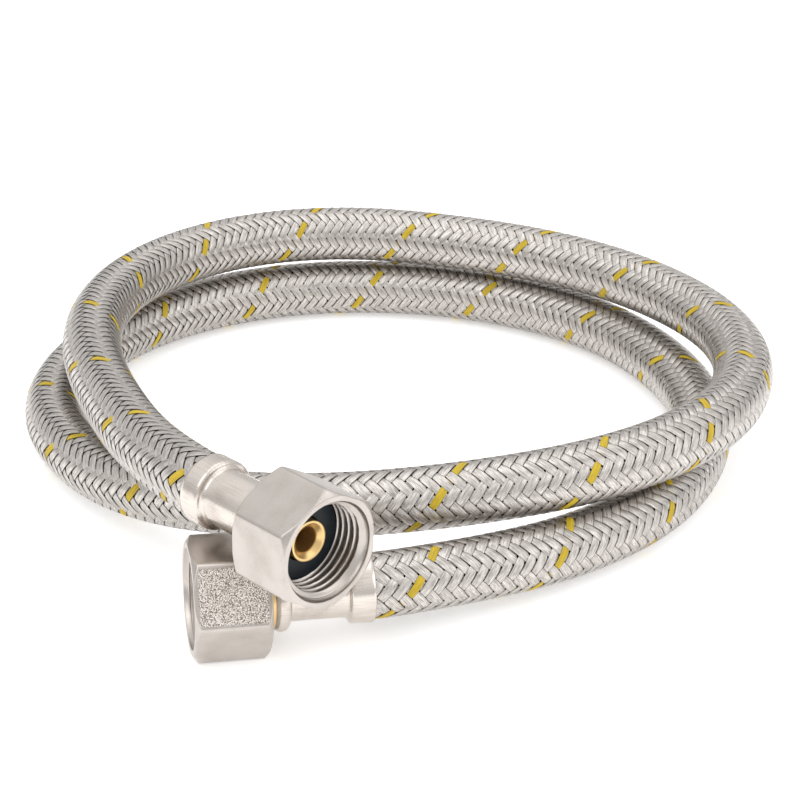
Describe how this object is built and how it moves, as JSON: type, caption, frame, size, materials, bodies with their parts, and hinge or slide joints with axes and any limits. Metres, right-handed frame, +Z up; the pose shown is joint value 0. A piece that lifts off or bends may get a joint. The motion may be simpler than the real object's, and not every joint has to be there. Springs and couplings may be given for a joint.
{
  "type": "braided supply hose",
  "caption": "Stainless-braided flexible water supply hose lying in loose turns, with a swivel hex union nut, gasket and crimped ferrule on each end.",
  "frame": {"origin": "centre of the coil's bounding box, on the surface that it lies on", "axes": "+Z up; -Y towards the side where both end fittings lie; +X along the lower hose where it leaves its ferrule"},
  "size_m": [0.1849, 0.2142, 0.0483],
  "materials": {
    "steel_braid": "woven stainless wire, bright, with a yellow tracer yarn",
    "epdm_tube": "extruded EPDM rubber, matt",
    "nickel_plate": "satin nickel plate over forged and turned brass",
    "pressed_nickel": "nickel plate over crimped sheet, light draw lines",
    "turned_brass": "bare turned brass",
    "black_rubber": "moulded nitrile rubber, smooth, slight sheen"
  },
  "bodies": {
    "hose": {"braid_sleeve": "steel_braid", "inner_tube": "epdm_tube", "nipple_a": "turned_brass", "gasket_a": "black_rubber", "ferrule_a": "pressed_nickel", "nipple_b": "turned_brass", "gasket_b": "black_rubber", "ferrule_b": "pressed_nickel"},
    "nut_a": {"union_nut_a": "nickel_plate"},
    "nut_b": {"union_nut_b": "nickel_plate"}
  },
  "joints": [
    {"name": "nut_a_swivel", "type": "hinge", "parent": "hose", "child": "nut_a", "pos_m": [-0.0055, -0.0735, 0.0114], "axis": [-0.9813, -0.1907, 0.0262], "continuous": true},
    {"name": "nut_b_swivel", "type": "hinge", "parent": "hose", "child": "nut_b", "pos_m": [-0.0398, -0.0708, 0.0338], "axis": [0.6755, -0.7372, 0.0175], "continuous": true}
  ]
}
